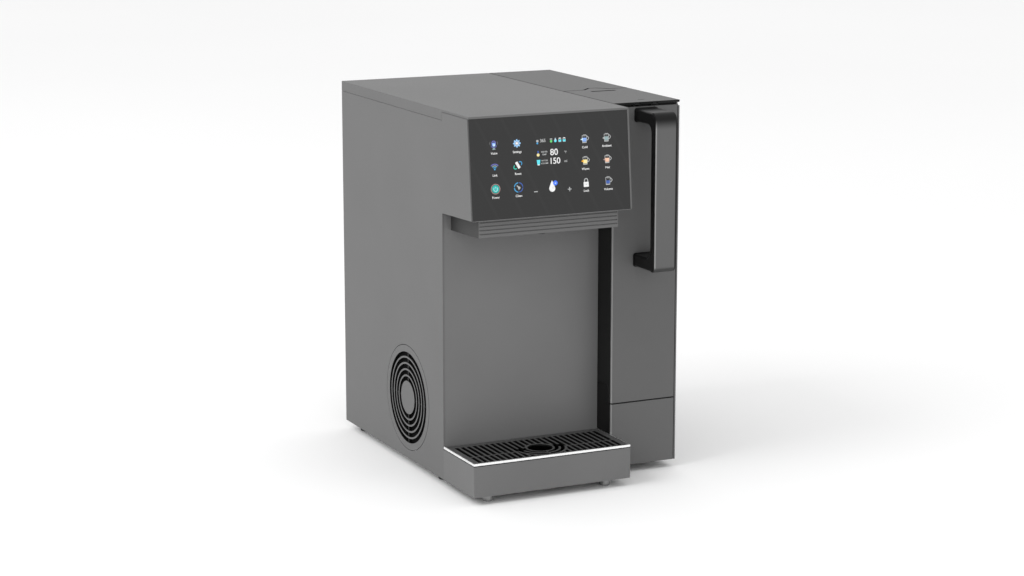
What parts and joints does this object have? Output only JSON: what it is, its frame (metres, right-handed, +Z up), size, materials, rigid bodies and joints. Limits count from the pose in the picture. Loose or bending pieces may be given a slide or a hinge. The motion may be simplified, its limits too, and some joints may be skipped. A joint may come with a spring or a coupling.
{
  "type": "countertop hot and cold water dispenser",
  "caption": "Free-standing countertop hot and cold water dispenser with a touch panel, a cup bay, a drip tray and a pull-out side tank with a bow handle.",
  "frame": {"origin": "on the supporting surface, under the middle of the whole machine", "axes": "+X to the user's right, the front faces -Y, +Z up"},
  "size_m": [0.266, 0.362, 0.409],
  "materials": {
    "case_paint": "satin fine texture",
    "front_paint": "satin fine texture",
    "bay_paint": "satin",
    "inner_steel": "zinc plated",
    "panel_glass": "tinted, glossy",
    "tray_rim": "polished",
    "grille_plastic": "satin",
    "black_plastic": "satin",
    "tank_plastic": "smoked, satin",
    "block_plastic": "satin",
    "seal_rubber": "silicone",
    "foot_rubber": "matt",
    "tray_foot": "satin",
    "board_green": "solder mask",
    "display_film": "dark film",
    "valve_plastic": "natural",
    "float_plastic": "foam",
    "pump_can": "semi-gloss",
    "fin_aluminium": "mill",
    "screw_steel": "zinc plated",
    "hose_silicone": "translucent silicone",
    "filter_plastic": "gloss"
  },
  "bodies": {
    "case": {"base_pan": "inner_steel", "left_panel": "case_paint", "vent_grille": "case_paint", "top_cover": "case_paint", "bay_panel": "bay_paint", "partition_wall": "inner_steel", "head_side": "front_paint", "head_underside": "bay_paint", "panel_carrier": "black_plastic", "control_glass": "panel_glass", "touch_board": "board_green", "display_module": "display_film", "dispensing_block": "block_plastic", "nozzle": "black_plastic", "right_panel": "case_paint", "filter_bay_wall": "inner_steel", "rear_panel": "case_paint", "rear_screws": "screw_steel", "power_inlet": "black_plastic", "power_switch_frame": "black_plastic", "drain_port": "black_plastic", "case_feet": "foot_rubber", "tray_feet": "tray_foot", "tray_housing": "front_paint", "dock_front": "front_paint", "tank_dock": "black_plastic", "dock_valve": "valve_plastic", "filter_manifold": "valve_plastic", "fan_frame": "black_plastic", "heat_sink": "fin_aluminium", "cooler_module": "valve_plastic", "cold_tank": "valve_plastic", "booster_pump": "pump_can", "water_heater": "inner_steel", "power_supply": "fin_aluminium", "main_board": "board_green", "solenoid_valves": "pump_can", "hot_hose": "hose_silicone"},
    "drip_pan": {"drip_pan": "black_plastic", "tray_rim": "tray_rim"},
    "drip_grille": {"drip_grille": "grille_plastic"},
    "tray_float": {"tray_float": "black_plastic"},
    "tank": {"tank_body": "tank_plastic", "tank_plate": "front_paint", "outlet_valve": "valve_plastic", "hinge_pins": "screw_steel", "tank_handle": "black_plastic", "handle_face": "front_paint", "handle_screws": "screw_steel"},
    "tank_lid": {"tank_lid": "case_paint", "lid_liner": "black_plastic", "lid_seal": "seal_rubber"},
    "outlet_poppet": {"outlet_poppet": "seal_rubber"},
    "level_float": {"level_float": "float_plastic"},
    "filter_cover": {"filter_cover": "case_paint"},
    "sediment_filter": {"sediment_filter": "filter_plastic"},
    "membrane_filter": {"membrane_filter": "filter_plastic"},
    "fan_rotor": {"fan_rotor": "black_plastic"},
    "power_rocker": {"power_rocker": "black_plastic"},
    "drain_plug": {"drain_plug": "seal_rubber"}
  },
  "joints": [
    {"name": "pan_lift", "type": "slide", "parent": "case", "child": "drip_pan", "axis": [0, 0, 1], "range_m": [0, 0.06]},
    {"name": "grille_lift", "type": "slide", "parent": "drip_pan", "child": "drip_grille", "axis": [0, 0, 1], "range_m": [0, 0.04]},
    {"name": "tray_float_rise", "type": "slide", "parent": "drip_pan", "child": "tray_float", "axis": [0, 0, 1], "range_m": [0, 0.013]},
    {"name": "tank_slide", "type": "slide", "parent": "case", "child": "tank", "axis": [0, -1, 0], "range_m": [0, 0.15]},
    {"name": "lid_hinge", "type": "hinge", "parent": "tank", "child": "tank_lid", "pos_m": [0.0914, -0.1328, 0.4062], "axis": [1, 0, 0], "range_deg": [0, 100]},
    {"name": "poppet_lift", "type": "slide", "parent": "tank", "child": "outlet_poppet", "axis": [0, 0, 1], "range_m": [0, 0.003], "stiffness_N_per_m": 150, "springref_m": -0.002},
    {"name": "level_float_rise", "type": "slide", "parent": "tank", "child": "level_float", "axis": [0, 0, 1], "range_m": [0, 0.019]},
    {"name": "filter_cover_lift", "type": "slide", "parent": "case", "child": "filter_cover", "axis": [0, 0, 1], "range_m": [0, 0.05]},
    {"name": "sediment_filter_turn", "type": "hinge", "parent": "case", "child": "sediment_filter", "pos_m": [0.0915, 0.034, 0.209], "axis": [0, 0, 1], "range_deg": [0, 90]},
    {"name": "membrane_filter_turn", "type": "hinge", "parent": "case", "child": "membrane_filter", "pos_m": [0.0915, 0.118, 0.209], "axis": [0, 0, 1], "range_deg": [0, 90]},
    {"name": "fan_spin", "type": "hinge", "parent": "case", "child": "fan_rotor", "pos_m": [-0.116, -0.005, 0.078], "axis": [1, 0, 0], "continuous": true},
    {"name": "rocker_tip", "type": "hinge", "parent": "case", "child": "power_rocker", "pos_m": [-0.062, 0.171, 0.05], "axis": [0, 0, 1], "range_deg": [0, 20]},
    {"name": "plug_pull", "type": "slide", "parent": "case", "child": "drain_plug", "axis": [0, 1, 0], "range_m": [0, 0.02]}
  ]
}
